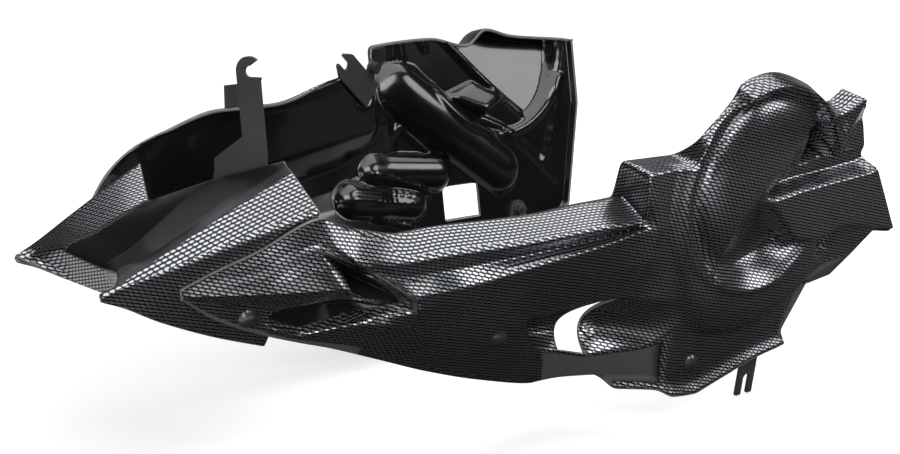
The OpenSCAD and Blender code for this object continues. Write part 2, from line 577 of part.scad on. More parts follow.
// Leaning stay on the right arm, with its fork at the top
fork_lean = 142;
fork_len = 60;
fork_w = 25;
fork_foot = 13;
fork_seat = fork_len - 12;
fork_clear = 0.5;
bush_at = [3, 22];
lug_r = 4.5;
module fork_outline() {
    difference() {
        union() {
            rotate(fork_lean) polygon([[-fork_foot, -fork_w / 2], [fork_seat, -fork_w / 2],
                [fork_len, 1.5 * slot_r - fork_w / 2], [fork_len, fork_w / 2 - 1.5 * slot_r],
                [fork_seat, fork_w / 2], [-fork_foot, fork_w / 2]]);
            hull() {
                translate(bush_at) circle(r = lug_r, $fn = 32);
                translate(bush_at / 2) circle(r = lug_r, $fn = 32);
            }
        }
        circle(r = screw_r + thread_gap, $fn = 32);
        slot_cut(fork_seat * [cos(fork_lean), sin(fork_lean)], fork_lean);
    }
}

module right_fork_bracket() color("darkslategray")
    mirror([0, 1, 0]) on_hole(right_holes[3]) stay_plate(fork_clear) fork_outline();

// Its screw ends flush in the tapped hole of the stay
module right_fork_screw() color("black") mirror([0, 1, 0]) on_hole(right_holes[3]) screw(rear_stack + fork_clear);

// Rubber stop on the lug at the side of the leaning stay
bush_r = 5.5;
bush_len = 6;
module right_fork_bush() color("black") mirror([0, 1, 0]) on_hole(right_holes[3])
    translate([bush_at.x, bush_at.y, -seat - fork_clear - stay_t - fit_gap - bush_len])
        cylinder(h = bush_len, r = bush_r, $fn = 32);

// Upright with a hook at the top, a bent tab at the side and a foot that is bolted to the rim's drop
tab_low = 27;
tab_h = 17;
tab_len = 12;
tab_bend = 80;
module hook_outline() {
    foot = hook_bolts_at[1] + 9;
    head = hook_slot;
    right = hook_left + hook_w;
    difference() {
        union() {
            polygon([[hook_left, rim_z(0) - 26], [hook_left, rim_z(0) + 4], [hook_left + 4, head.y - slot_r],
                [right + 6, head.y], [right + 2, rim_z(0) + 14], [right + 12, rim_z(0) + 7],
                [right + 28, rim_z(0) - 4], [right + 28, rim_z(0) - 14], [foot, rim_z(foot) - bolt_drop + 8],
                [foot, rim_z(foot) - bolt_drop - 7],
                [hook_bolts_at[0] - 6, rim_z(hook_bolts_at[0]) - bolt_drop - 9]]);
            translate(head) circle(r = hook_w / 2 + 2, $fn = 40);
            translate([right, head.y - tab_low]) square([6 + stay_t, tab_h]);
        }
        translate(head) {
            circle(r = slot_r, $fn = 32);
            polygon([[0, -slot_r], [0, slot_r], [-hook_w, 4 * slot_r], [-hook_w, -slot_r]]);
        }
        for (a = hook_bolts_at) translate([a, rim_z(a) - bolt_drop]) circle(r = hole_r, $fn = 32);
    }
}

module front_hook_bracket() color("darkslategray") hook_plane() translate([0, 0, fit_gap]) {
    linear_extrude(stay_t) hook_outline();
    translate([hook_left + hook_w + 6, hook_slot.y - tab_low, stay_t]) rotate([0, tab_bend, 0])
        cube([tab_len, tab_h, stay_t]);
}

module on_hook_bolts(rise) {
    for (a = hook_bolts_at) hook_plane() translate([a, rim_z(a) - bolt_drop, rise]) children();
}

hook_stack = stay_t + seat + fit_gap;
module hook_bolts() color("black") on_hook_bolts(fit_gap + stay_t) screw(hook_stack + fit_gap + tail);
module hook_washers() color("gray") on_hook_bolts(-seat) washer(0);
module hook_nuts() color("gray") on_hook_bolts(-seat) nut(-washer_t);

nose_panel();
left_side_panel();
right_side_panel();
front_hook_bracket();
hook_bolts();
hook_washers();
hook_nuts();
right_fork_bracket();
right_fork_screw();
right_fork_bush();
left_rear_bracket();
right_rear_bracket();
left_front_screw();
right_front_screw();
front_washers();
front_nuts();
middle_screws();
middle_well_nuts();
left_rear_screw();
right_rear_screw();
rear_washers();
rear_nuts();
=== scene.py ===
"""Belly pan of a motorcycle: a forked nose, two moulded side panels, steel stays and fasteners.
Lengths in the nets are in millimetres: X runs rearwards, Y to the bike's right, Z up."""
import json
import math

import bpy
import numpy as np
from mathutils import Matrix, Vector


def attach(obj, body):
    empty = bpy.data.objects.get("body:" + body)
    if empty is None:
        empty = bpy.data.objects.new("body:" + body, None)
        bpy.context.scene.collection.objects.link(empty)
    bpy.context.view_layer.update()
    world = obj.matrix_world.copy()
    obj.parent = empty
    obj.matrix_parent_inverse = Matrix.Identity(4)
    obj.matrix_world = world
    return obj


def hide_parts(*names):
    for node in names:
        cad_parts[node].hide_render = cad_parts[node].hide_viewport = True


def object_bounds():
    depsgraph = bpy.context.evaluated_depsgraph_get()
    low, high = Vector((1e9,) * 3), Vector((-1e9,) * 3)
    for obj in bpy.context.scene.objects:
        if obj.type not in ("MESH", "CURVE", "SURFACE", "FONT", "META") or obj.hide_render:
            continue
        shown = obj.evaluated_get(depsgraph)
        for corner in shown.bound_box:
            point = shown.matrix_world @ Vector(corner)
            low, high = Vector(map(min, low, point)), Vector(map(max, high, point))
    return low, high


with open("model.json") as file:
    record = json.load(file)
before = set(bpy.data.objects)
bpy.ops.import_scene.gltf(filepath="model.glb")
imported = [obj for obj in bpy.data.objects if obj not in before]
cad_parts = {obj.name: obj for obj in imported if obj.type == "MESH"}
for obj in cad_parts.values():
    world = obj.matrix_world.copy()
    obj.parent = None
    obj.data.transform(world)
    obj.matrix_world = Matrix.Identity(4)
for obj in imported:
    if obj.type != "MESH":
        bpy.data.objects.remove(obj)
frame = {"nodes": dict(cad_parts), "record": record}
cad_box = [list(v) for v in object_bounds()]

WALL = 3.0              # moulded sheet
HUG = 3.3               # outer face of a side panel over the nose's outer face
RETURN_DEPTH = 12.0     # return along the upper edges
LIP_HEIGHT = 10.0       # lip along the lower edges of the rear plates
ROUND_EDGE = 0.9        # how far a trimmed edge bulges
SEAT_R, SEAT_FADE, SEAT_REACH = 11.5, 9.0, 25.0     # flat seats around the screws
FINE, COARSE = 2.2, 2.4     # pitch of the nose's grid and of the side panels' grids


# ---------------------------------------------------------------- control points
def point(x, y, z):
    """Place as an array of three numbers."""
    return np.array([x, y, z], float)


def unit(v):
    """The same direction, one long."""
    return v / np.linalg.norm(v)


FLANK_TIP = point(-350, -74, 9)
FLANK_OUT = unit(np.cross(point(-209, -125, 57) - FLANK_TIP, point(-232, -84, -44) - FLANK_TIP))
FLANK_OUT = FLANK_OUT * np.sign(-FLANK_OUT[1])
LEAN = math.radians(9)
PLATE_OUT = point(0, -math.cos(LEAN), -math.sin(LEAN))


def flank(x, z, out=0.0):
    """Point of the nose's flat flank at x and z, moved out: the plane's equation solved for y."""
    n, q = FLANK_OUT, FLANK_TIP
    return point(x, q[1] + (out - n[0] * (x - q[0]) - n[2] * (z - q[2])) / n[1], z)


def on_nose(x, z, rise=0.0):
    """Point of a side panel's face where it lies on the nose's flank, raised by some height."""
    return flank(x, z, HUG + rise)


def on_plate(x, z, rise=0.0):
    """Point of a rear plate, which leans outwards to the top, raised by some height."""
    return point(x, -191 - (z - 43) * math.tan(LEAN) - rise / math.cos(LEAN), z)


def far(p):
    """The same point on the bike's other side: Y changes its sign."""
    return p * (1, -1, 1)


RIM_NEAR, RIM_FAR = point(-200, -62, 84), point(-252, 50, 44)
RIM_DIR = unit((RIM_FAR - RIM_NEAR) * (1, 1, 0))
RIM_BACK = point(RIM_DIR[1], -RIM_DIR[0], 0)


def rim(t, back, drop):
    """Point of the nose's rolled rim: a share of the way along it, moved back and down."""
    return RIM_NEAR + (RIM_FAR - RIM_NEAR) * t + RIM_BACK * back - point(0, 0, drop)


def inward(p, depth, drop):
    """The point moved towards the bike's middle and down."""
    return p + point(0, depth, -drop)


NOSE_EDGE = 1.5 * point(0, -FLANK_OUT[2] / FLANK_OUT[1], 1)
LIP = point(0, -LIP_HEIGHT / 2, -LIP_HEIGHT)


def nose_station(lines):
    """Station that lies on the nose: both its ends run on a little over the flank."""
    return [lines[0] + NOSE_EDGE, *lines, lines[-1] - NOSE_EDGE]


def arm_station(lines):
    """Station of the left arm: a return turns inwards at its top and a short one at its foot."""
    return [inward(lines[0], RETURN_DEPTH, 3), *lines, inward(lines[-1], 6, 1)]


def plate_station(lines, rise, depth):
    """Station of the left rear plate: a return at its top and the outward lip at its foot."""
    return [lines[0] + point(0, depth, rise), *lines, lines[-1] + LIP]


RING_X, RING_Z, RING_R = 167.0, 43.0, 85.0      # the left bulge's ridge
PANEL_ROWS = np.cumsum([0, 4, 3, 3, 3, 5, 6, 5, 5]) / 34


def round_edge(angle, past):
    """Point on a circle round the left bulge: an angle in degrees and a distance past the ridge,
    turned into x and z by its cosine and sine."""
    a, r = math.radians(angle), RING_R + past
    return on_plate(RING_X + r * math.cos(a), RING_Z + r * math.sin(a))


def edge_plate(top, low):
    """Nine points spread from the plate's upper edge to its lower lip."""
    end = on_plate(*low)
    return [top + (end - top) * t for t in PANEL_ROWS]


ROLL, DROP = 6, 34      # width of the nose's rolled rim, and depth of the flange behind it
NOSE_NET = [
    [flank(-349, 5), (-350, -75, 8), (-350, -72, 11), (-318, -45, -9), (-304, 0, -15),
     (-318, 45, -9), (-350, 72, 11), (-350, 75, 8), far(flank(-349, 5))],
    [flank(-336, 0), flank(-338, 13), (-337, -75, 16), (-325, -46, 16), (-313, 0, 8),
     (-325, 46, 16), (-337, 75, 16), far(flank(-338, 13)), far(flank(-336, 0))],
    [flank(-308, -15), flank(-306, 23.5), (-305, -79, 33), (-298, -48, 27), (-292, 0, 21),
     (-298, 48, 26), (-304, 79, 34), far(flank(-306, 23.5)), far(flank(-308, -15))],
    [flank(-268, -32), flank(-260, 40), (-260, -84, 56), (-254, -54, 53), (-257, 0, 45),
     (-272, 48, 37), (-272, 83, 51), far(flank(-270, 38)), far(flank(-270, -32))],
    [flank(-232, -44), flank(-209, 57), (-209, -90, 80), rim(0, 0, 0), rim(0.52, -1, -2),
     rim(1, 0, 0), (-240, 87, 67), far(flank(-232, 51)), far(flank(-232, -44))],
    [flank(-231, -44), flank(-208, 57), (-208, -90, 80), rim(0, ROLL, 2), rim(0.5, ROLL, 2),
     rim(1, ROLL, 2), (-239, 87, 67), far(flank(-231, 51)), far(flank(-231, -44))],
    [flank(-230, -44), flank(-207, 57), (-207, -90, 80), rim(0.04, ROLL, DROP),
     rim(0.5, ROLL, DROP), rim(0.96, ROLL, DROP), (-238, 87, 67), far(flank(-230, 51)),
     far(flank(-230, -44))]]
LEFT_NET = [
    nose_station([on_nose(-298 + 0.3 * (4.5 - z), z)
                  for z in (7, 6, 5.5, 5, 4.5, 4, 3.5, 3, 2.5)]),
    nose_station([on_nose(-275, 19), on_nose(-275, 15, 2), on_nose(-275, 12, 3),
                  on_nose(-275, 9, 4), on_nose(-275, 6, 5), on_nose(-275, 3, 6), on_nose(-275, -4),
                  on_nose(-275, -8), on_nose(-277, -13)]),
    nose_station([on_nose(-252, 29), on_nose(-250, 24, 4), on_nose(-248, 20, 7),
                  on_nose(-248, 14, 9), on_nose(-248, 9, 12), on_nose(-247, 3, 15),
                  on_nose(-256, -10), on_nose(-249, -19), on_nose(-250, -27)]),
    nose_station([on_nose(-210, 51), (-212, -130, 36), (-211, -131, 32), (-211, -132, 29),
                  (-208, -135, 18), (-202, -140, 4), (-213, -112, -14), (-215, -103, -34),
                  (-212, -95, -41)]),
    arm_station([(-178, -124, 42), (-183, -137, 20), (-180, -133, 14), (-177, -143, 11),
                 (-180, -128, 5), (-184, -141, -8), (-183, -116, -15), (-180, -124, -29),
                 (-182, -98, -52)]),
    arm_station([(-140, -125, 34), (-152, -143, 16), (-148, -138, 4), (-148, -151, -7),
                 (-145, -150, -13), (-144, -149, -18), (-143, -145, -23), (-143, -137, -33),
                 (-143, -101, -67)]),
    arm_station([(-111, -130, 36), (-117, -153, 18), (-113, -143, 6), (-112, -152, -8),
                 (-111, -148, -18), (-110, -142, -29), (-108, -135, -43), (-105, -124, -60),
                 (-99, -106, -84)]),
    arm_station([(-62, -141, 37), (-70, -165, 20), (-65, -154, 9), (-63, -164, 0),
                 (-61, -157, -15), (-60, -148, -34), (-58, -138, -54), (-55, -125, -76),
                 (-50, -107, -100)]),
    arm_station([(-30, -147, 38), (-32, -175, 23), (-28, -164, 13), (-28, -172, 6),
                 (-32, -160, -18), (-37, -144, -44), (-12, -126, -77), (-6, -118, -92),
                 (4, -107, -113)]),
    arm_station([(10, -154, 42), (8, -183, 26), (10, -172, 17), (10, -181, 13), (8, -169, -12),
                 (26, -159, -38), (8, -131, -81), (16, -123, -96), (22, -113, -111)]),
    arm_station([(46, -160, 45), (44, -190, 28), (46, -181, 24), (48, -188, 21), (44, -178, -8),
                 (42, -163, -37), (30, -139, -86), (40, -136, -97), (50, -132, -109)]),
    plate_station([(38, -178, 71), (40, -196, 66), (48, -195, 44), (58, -191, 21), (56, -183, -6),
                   (48, -166, -38), (38, -142, -86), (50, -140, -98),
                   (60, -136, -110)], 2, RETURN_DEPTH),
    plate_station([(84, -185, 72), on_plate(82, 67), on_plate(78, 44), on_plate(82, 21),
                   on_plate(84, -6), on_plate(80, -42), (76, -163, -81), (80, -158, -96),
                   (86, -156, -111)], 2, RETURN_DEPTH),
    plate_station([round_edge(148, 1), on_plate(96, 72), on_plate(98, 50), on_plate(100, 30),
                   on_plate(104, 4), on_plate(108, -44), on_plate(103, -64), on_plate(102, -88),
                   on_plate(100, -117)], 1, WALL),
    plate_station(edge_plate(round_edge(118, 1), (128, -120)), 1, WALL),
    plate_station(edge_plate(round_edge(113, 7), (132, -119)), 1, WALL),
    plate_station(edge_plate(round_edge(91, 7), (162, -111)), 1, WALL),
    plate_station(edge_plate(round_edge(63, 6), (196, -102)), 1, WALL),
    plate_station(edge_plate(round_edge(40, 12), (222, -98)), 1, WALL),
    plate_station([on_plate(262, 115), on_plate(277, 104), on_plate(290, 85), on_plate(304, 48),
                   on_plate(326, 17), on_plate(348, -14), on_plate(318, -34), on_plate(260, -52),
                   on_plate(234, -96)], 1, WALL),
    plate_station([on_plate(266, 98, -10), on_plate(279, 95, -10), on_plate(292, 82, -10),
                   on_plate(307, 48, -10), on_plate(329, 17, -12), on_plate(350, -32, -22),
                   on_plate(322, -62, -22), on_plate(272, -68, -22),
                   on_plate(236, -97, -10)], 1, WALL)]


def right_station(lines, depth):
    """Station of the right arm: a return of some depth at its top and a short one at its foot."""
    return [inward(lines[0], depth, 3 - depth / 2), *lines, inward(lines[-1], 5, 2)]


def right_plate_station(lines, depth):
    """Station of the right rear plate: a return at its top and the outward lip at its foot."""
    return [inward(lines[0], depth, 3 - depth / 2), *lines, lines[-1] + LIP]


def right_plate(x, top, low):
    """Five points down the right plate at one x, from its upper edge to its lower lip."""
    return [on_plate(x, z) for z in (top, 50, -8, -42, low)]


RIGHT_NET = [
    nose_station([on_nose(-298 + 0.3 * (4.5 - z), z) for z in (7, 5.5, 4, 3, 2.5)]),
    nose_station([on_nose(-252, 56), on_nose(-250, 8, 12), on_nose(-252, -10), on_nose(-252, -19),
                  on_nose(-252, -27)]),
    nose_station([on_nose(-212, 74), (-204, -141, 8), (-212, -113, -14), (-213, -102, -33),
                  (-210, -95, -41)]),
    right_station([(-143, -132, 98), (-148, -152, 16), (-146, -145, -12), (-144, -138, -30),
                   (-143, -101, -67)], 6),
    right_station([(-87, -142, 97), (-90, -162, 19), (-86, -156, -14), (-84, -146, -36),
                   (-80, -106, -90)], 6),
    right_station([(-13, -154, 113), (-13, -179, 24), (-12, -166, -16), (-10, -150, -44),
                   (8, -109, -113)], 0),
    right_station([(44, -172, 118), (45, -190, 40), (46, -177, -12), (47, -164, -44),
                   (50, -132, -110)], 0),
    right_station([on_plate(64, 135), on_plate(66, 50), on_plate(70, -10), (72, -172, -44),
                   (76, -152, -112)], 6),
    right_plate_station(right_plate(132, 139, -114), 6),
    right_plate_station(right_plate(178, 130, -110), 6),
    right_plate_station(right_plate(204, 145, -104), 6),
    right_plate_station(right_plate(238, 137, -100), 6),
    right_plate_station([on_plate(316, 129), on_plate(316, 62), on_plate(300, -4),
                         on_plate(292, -42), on_plate(240, -98)], 6),
    right_plate_station([on_plate(320, 130, -8), on_plate(320, 62, -8), on_plate(304, -5, -8),
                         on_plate(295, -43, -8), on_plate(243, -99, -8)], 1)]


# ---------------------------------------------------------------- surfaces
def ease(t):
    """Smooth step from nought to one: three t squared less two t cubed."""
    t = np.clip(t, 0, 1)
    return t * t * (3 - 2 * t)


def hump(t):
    """One at the middle, nought from one onwards, as half a cosine wave."""
    return np.where(np.abs(t) < 1, (1 + np.cos(np.pi * np.clip(t, -1, 1))) / 2, 0)


def monotone_curve(values, where, at):
    """Cubic pieces through the rows of values; a tangent is the harmonic mean of its neighbours'
    and nought where they turn, so the curve never swings past its points."""
    step = np.diff(where)[:, None]
    rise = np.diff(values, axis=0) / step
    tangent = np.empty_like(values)
    tangent[0], tangent[-1] = rise[0], rise[-1]
    a, b = rise[:-1], rise[1:]
    with np.errstate(divide="ignore", invalid="ignore"):
        tangent[1:-1] = np.where(a * b > 0, 2 * a * b / (a + b), 0)
    k = np.clip(np.searchsorted(where, at, side="right") - 1, 0, len(where) - 2)
    h = step[k]
    t = ((at - where[k]) / h[:, 0])[:, None]
    return (values[k] * (1 + 2 * t) * (1 - t) ** 2 + tangent[k] * h * t * (1 - t) ** 2
            + values[k + 1] * t * t * (3 - 2 * t) + tangent[k + 1] * h * t * t * (t - 1))


def stepped(counts):
    """Numbers from nought to the number of gaps, each gap cut into its own count of even steps."""
    steps = [k + np.arange(c) / c for k, c in enumerate(counts)]
    return np.concatenate([*steps, [float(len(counts))]])


def fine_grid(net, pitch, breaks, rounds):
    """Grid over a net: smooth along the stations between breaks, straight between the lines, then
    averaged with its neighbours a few times, which rounds the folds. Also gives each column's
    station and each row's line as real numbers."""
    net = np.array(net, float)
    reach = np.linalg.norm(np.diff(net, axis=0), axis=2)
    counts = np.maximum(2, np.ceil(reach.mean(1) / pitch)).astype(int)
    where = np.concatenate([[0], np.cumsum(reach.mean(1))])
    column = stepped(counts)
    at = np.interp(column, np.arange(len(net)), where)
    flat = net.reshape(len(net), -1)
    curves = np.empty((len(at), flat.shape[1]))
    edges = [0, *breaks, len(net) - 1]
    for lo, hi in zip(edges, edges[1:]):
        part = (column >= lo) & (column <= hi)
        curves[part] = monotone_curve(flat[lo:hi + 1], where[lo:hi + 1], at[part])
    curves = curves.reshape(len(at), net.shape[1], 3)
    span = np.linalg.norm(np.diff(curves, axis=1), axis=2).max(0)
    rows = np.maximum(2, np.ceil(span / pitch)).astype(int)
    row = stepped(rows)
    low = np.minimum(row.astype(int), net.shape[1] - 2)
    t = (row - low)[None, :, None]
    g = curves[:, low] * (1 - t) + curves[:, low + 1] * t
    return softened(g, rounds), column, row


def softened(g, rounds):
    """Each inner point becomes a quarter of either neighbour and a half of itself, first across,
    then along."""
    g = g.copy()
    for _ in range(rounds):
        g[:, 1:-1] = (g[:, :-2] + 2 * g[:, 1:-1] + g[:, 2:]) / 4
        g[1:-1] = (g[:-2] + 2 * g[1:-1] + g[2:]) / 4
    return g


def outward(g, side):
    """Unit normals of a grid from the cross product of its two slopes, averaged a little."""
    n = side * np.cross(np.gradient(g, axis=0), np.gradient(g, axis=1))
    size = np.linalg.norm(n, axis=2, keepdims=True)
    n = n / np.maximum(size, 1e-9)
    n = softened(n, 2)
    return n / np.maximum(np.linalg.norm(n, axis=2, keepdims=True), 1e-9)


def rolled_strip(points, inner, ways, a, b, base):
    """Round edge between the outer and inner skins along edges a to b: two rows of points bulge
    outwards between them, so that the edge is a half round."""
    used, place = np.unique(np.concatenate([a, b]), return_inverse=True)
    a2, b2 = place[:len(a)], place[len(a):]
    push = np.zeros((len(used), 3))
    np.add.at(push, a2, ways)
    np.add.at(push, b2, ways)
    push /= np.maximum(np.linalg.norm(push, axis=1, keepdims=True), 1e-9)
    rings = [points[used] * (1 - t) + inner[used] * t + push * ROUND_EDGE for t in (0.22, 0.78)]
    n, m = len(points), len(used)
    first, second = base + a2, base + m + a2
    first_b, second_b = base + b2, base + m + b2
    faces = np.concatenate([
        np.stack([b, a, first, first_b], 1),
        np.stack([first_b, first, second, second_b], 1),
        np.stack([second_b, second, n + a, n + b], 1)])
    return np.concatenate(rings), faces, used


def moulded_sheet(name, g, out, kept, flip, finishes, film_and_painted_light):
    """Closed sheet between a grid and its copy one wall further in, less the cells that aren't
    kept, with a rolled strip along every border."""
    n, m = g.shape[:2]
    outer, inner = g.reshape(-1, 3), (g - WALL * out).reshape(-1, 3)
    index = np.arange(n * m).reshape(n, m)
    i, j = np.nonzero(kept)
    quad = np.stack([index[i, j], index[i, j + 1], index[i + 1, j + 1], index[i + 1, j]], 1)
    if flip:
        quad = quad[:, ::-1]
    wide = np.zeros((n + 1, m + 1), bool)
    wide[1:-1, 1:-1] = kept
    starts, ends, ways = [], [], []
    for (di, dj), (p, q) in {(0, -1): ((1, 0), (0, 0)), (1, 0): ((1, 1), (1, 0)),
                             (0, 1): ((0, 1), (1, 1)), (-1, 0): ((0, 0), (0, 1))}.items():
        bare = ~wide[i + 1 + di, j + 1 + dj]
        a = index[i[bare] + p[0], j[bare] + p[1]]
        b = index[i[bare] + q[0], j[bare] + q[1]]
        if flip:
            a, b = b, a
        starts.append(a)
        ends.append(b)
        ways.append(outer[a] - outer[index[i[bare] + p[0] - di, j[bare] + p[1] - dj]])
    a, b, ways = np.concatenate(starts), np.concatenate(ends), np.concatenate(ways)
    ways = ways / np.maximum(np.linalg.norm(ways, axis=1, keepdims=True), 1e-9)
    ring, strip, border = rolled_strip(outer, inner, ways, a, b, 2 * n * m)
    points = np.concatenate([outer, inner, ring])
    turned = softened(out, 12).reshape(-1, 3)
    turned = np.concatenate([turned, turned, turned[border], turned[border]])
    faces = np.concatenate([quad, quad[:, ::-1] + n * m, strip])
    kind = np.repeat([0, 1, 2], [len(quad), len(quad), len(strip)])
    used, place = np.unique(faces, return_inverse=True)
    faces = place.reshape(faces.shape)
    film_and_painted_light = np.concatenate([film_and_painted_light.ravel(), film_and_painted_light.ravel(), np.ones(len(ring))])[used]
    return solid(name, points[used], faces, kind, finishes, film_and_painted_light, turned[used])


def solid(name, points, faces, kind, finishes, film_and_painted_light, turned):
    """Mesh from arrays of points in millimetres and four-sided faces, kept within the CAD's box.
    Each face takes its pattern from the two directions that it lies along most."""
    points = np.clip(points, *(1000 * np.array(cad_box)))
    mesh = bpy.data.meshes.new(name)
    mesh.vertices.add(len(points))
    mesh.vertices.foreach_set("co", (points / 1000).ravel())
    mesh.loops.add(faces.size)
    mesh.loops.foreach_set("vertex_index", faces.ravel())
    mesh.polygons.add(len(faces))
    mesh.polygons.foreach_set("loop_start", np.arange(len(faces)) * 4)
    mesh.polygons.foreach_set("loop_total", np.full(len(faces), 4))
    mesh.update(calc_edges=True)
    mesh.polygons.foreach_set("use_smooth", np.ones(len(faces), bool))
    mesh.polygons.foreach_set("material_index", kind)
    p = points[faces]
    facing = np.argmax(np.abs(turned[faces].sum(1)) * (1, 1.1, 1.2), axis=1)[:, None]
    uv = np.stack([np.where(facing == 0, p[..., 1], p[..., 0]),
                   np.where(facing == 2, p[..., 1], p[..., 2])], 2) / 1000
    mesh.uv_layers.new(name="weave").data.foreach_set("uv", uv.ravel())
    # per-point value: print cover, lowered for painted shade, below nought for painted highlight
    mesh.attributes.new("film_and_painted_light", "FLOAT", "POINT").data.foreach_set("value", film_and_painted_light)
    for f in finishes:
        mesh.materials.append(f)
    piece = bpy.data.objects.new(name, mesh)
    bpy.context.collection.objects.link(piece)
    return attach(piece, "root")


# ---------------------------------------------------------------- the side panels' reliefs
def slope(t):
    """Straight ramp from nought to one, for facets with firm edges."""
    return np.clip(t, 0, 1)


def to_segment(x, z, a, b):
    """Distance to a straight line between two places: from the nearest place along it."""
    dx, dz = b[0] - a[0], b[1] - a[1]
    t = np.clip(((x - a[0]) * dx + (z - a[1]) * dz) / (dx * dx + dz * dz), 0, 1)
    return np.hypot(x - a[0] - dx * t, z - a[1] - dz * t)


def depth_inside(x, z, outline):
    """Distance in from a closed outline, below nought outside it: the nearest edge's distance,
    with its sign from how many edges lie beyond the point."""
    near, odd = np.full(x.shape, 1e3), np.zeros(x.shape, bool)
    for (ax, az), (bx, bz) in zip(outline, outline[1:] + outline[:1]):
        near = np.minimum(near, to_segment(x, z, (ax, az), (bx, bz)))
        if az != bz:
            odd ^= ((az > z) != (bz > z)) & (x < ax + (z - az) * (bx - ax) / (bz - az))
    return np.where(odd, near, -near)


STRAP = [(160, 36), (207, 43), (295, 49), (330, 60), (380, -10), (380, -30), (353, -18), (273, -3),
         (255, -10), (221, -9), (208, -9), (166, 30)]
STRAP_CHANNEL = [(170, 36), (172, 42), (211, 57), (250, 62), (300, 64), (300, 40)]
UPPER_POCKET = [(206, 88), (238, 92), (246, 58), (214, 54)]
LOWER_POCKET = [(250, -4), (278, -6), (274, -30), (250, -24)]
UPPER_DEPTH, LOWER_DEPTH = 26, 20       # of the two pockets
RIDGE, GROOVE_IN = 14, 9        # the ring's height, and how far inside it its groove lies
STRAP_PROUD, HORN_FOOT, HORN_RISE = 17, 4, 15


def left_relief(x, z):
    """Height over the left plate: the ring's ridge and groove around a dome that sinks into an
    open bowl towards the lower edge, the ridged horn, the pockets and channel beside the strap,
    and the bevelled strap itself, each blended by its own mask."""
    dx, dz = x - RING_X, z - RING_Z
    r = np.hypot(dx, dz)
    front = ease((-dx / np.maximum(r, 1) - 0.35) / 0.5)
    groove = RING_R - GROOVE_IN
    crest = RIDGE - 8 * front
    sinking = 22 - 28 * ease(((0.7 * dx - 0.71 * dz) / groove + 0.4) / 1.15)
    dome = np.minimum(1 + 21 * np.sqrt(1 - np.clip(r / (groove - 6 * front), 0, 1) ** 2), sinking)
    rolled = np.where(r < groove, dome, crest - (crest - 1) * hump((r - groove) / 9))
    bowl = np.maximum(sinking, 20 * ease((r - 58) / 26) - 6)
    open_side = ease(((0.3 * dx - 0.95 * dz) / np.maximum(r, 1) - 0.45) / 0.3)
    inside = rolled * (1 - open_side) + bowl * open_side
    shoulder = crest * np.sqrt(1 - np.clip((r - RING_R) / (41 - 26 * front), 0, 1) ** 2)
    ring = np.where(r < RING_R, inside, shoulder) + 3 * hump((r - RING_R) / 5)
    horn_mask = ease((x - 246 + 0.1 * (z - 80)) / 6) * ease((z - 58) / 5)
    horn = HORN_FOOT + HORN_RISE * (1 - slope(np.abs(x - 245 - 0.59 * (z - 74)) / 32))
    base = ring * (1 - horn_mask) + horn * horn_mask
    base = base - UPPER_DEPTH * slope(depth_inside(x, z, UPPER_POCKET) / 7)
    base = base - LOWER_DEPTH * slope(depth_inside(x, z, LOWER_POCKET) / 6)
    base = base * (1 - slope(depth_inside(x, z, STRAP_CHANNEL) / 3))
    strap = slope(depth_inside(x, z, STRAP) / 5 + 0.2)
    return base * (1 - strap) + STRAP_PROUD * strap


def rib(x, z, path, height=3, half=2.8):
    """Rounded rib along a path of places: its height times the hump of the distance from the path
    over half its width."""
    d = np.min([to_segment(x, z, a, b) for a, b in zip(path, path[1:])], axis=0)
    return height * hump(d / half)


def patch(x, z, corners, soft=3):
    """One inside a convex outline whose corners run clockwise, nought outside: the least distance
    in from its edges, over a short way."""
    d = 1e3
    for (ax, az), (bx, bz) in zip(corners, corners[1:] + corners[:1]):
        way_x, way_z = bx - ax, bz - az
        d = np.minimum(d, ((x - ax) * way_z - (z - az) * way_x) / math.hypot(way_x, way_z))
    return slope(0.5 + d / soft)


BULGE_X, BULGE_Z, BULGE_R = 215, 132, 91        # the right bulge's middle and round edge
TUBE, TUBE_HALF, TUBE_DEPTH = ((88, 91), (206, 3)), 25, 16
PODS, POD_DEPTH = (((46, 15), (124, 6), 17), ((14, -6), (92, -20), 16)), 12     # ends, half width


def right_relief(x, z):
    """Height over the right plate: the bulge with its firm round edge and straight strap side, the
    half-round tube pressed inwards across it, a sloping step and the ribs between them."""
    r = np.hypot(x - BULGE_X, z - BULGE_Z)
    past_strap = ((x - 161) * 56 + (z - 129) * 62) / math.hypot(56, 62)     # beyond its line
    deep = 3 + 0.18 * np.clip(z - 48, 0, 90)        # deeper towards the top
    bulge = (deep * ease((BULGE_R - r) / 6) * ease((past_strap + 2) / 6)
             - 4 * hump((r - BULGE_R - 5) / 5) * (z < 92))
    step = patch(x, z, [(147, 78), (182, 90), (217, 73), (187, 60)]) * (3 + 0.5 * (90 - z))
    strap = patch(x, z, [(146, 138), (162, 132), (224, 73), (214, 70)]) * 6
    tube = TUBE_DEPTH * np.sqrt(1 - slope(to_segment(x, z, *TUBE) / TUBE_HALF) ** 2)
    ribs = np.max([rib(x, z, [(107, 110), (142, 77), (181, 58), (216, 43), (251, 15),
                              (284, -17)], 4),
                   rib(x, z, [(291, 89), (294, 65), (290, 45), (276, 16), (267, 0)], 4),
                   rib(x, z, [(88, 136), (86, 118)], 5), rib(x, z, [(96, 136), (98, 118)], 5),
                   rib(x, z, [(122, 141), (127, 128)], 5)], axis=0)
    return bulge - np.max([tube, step, strap, ribs], axis=0)


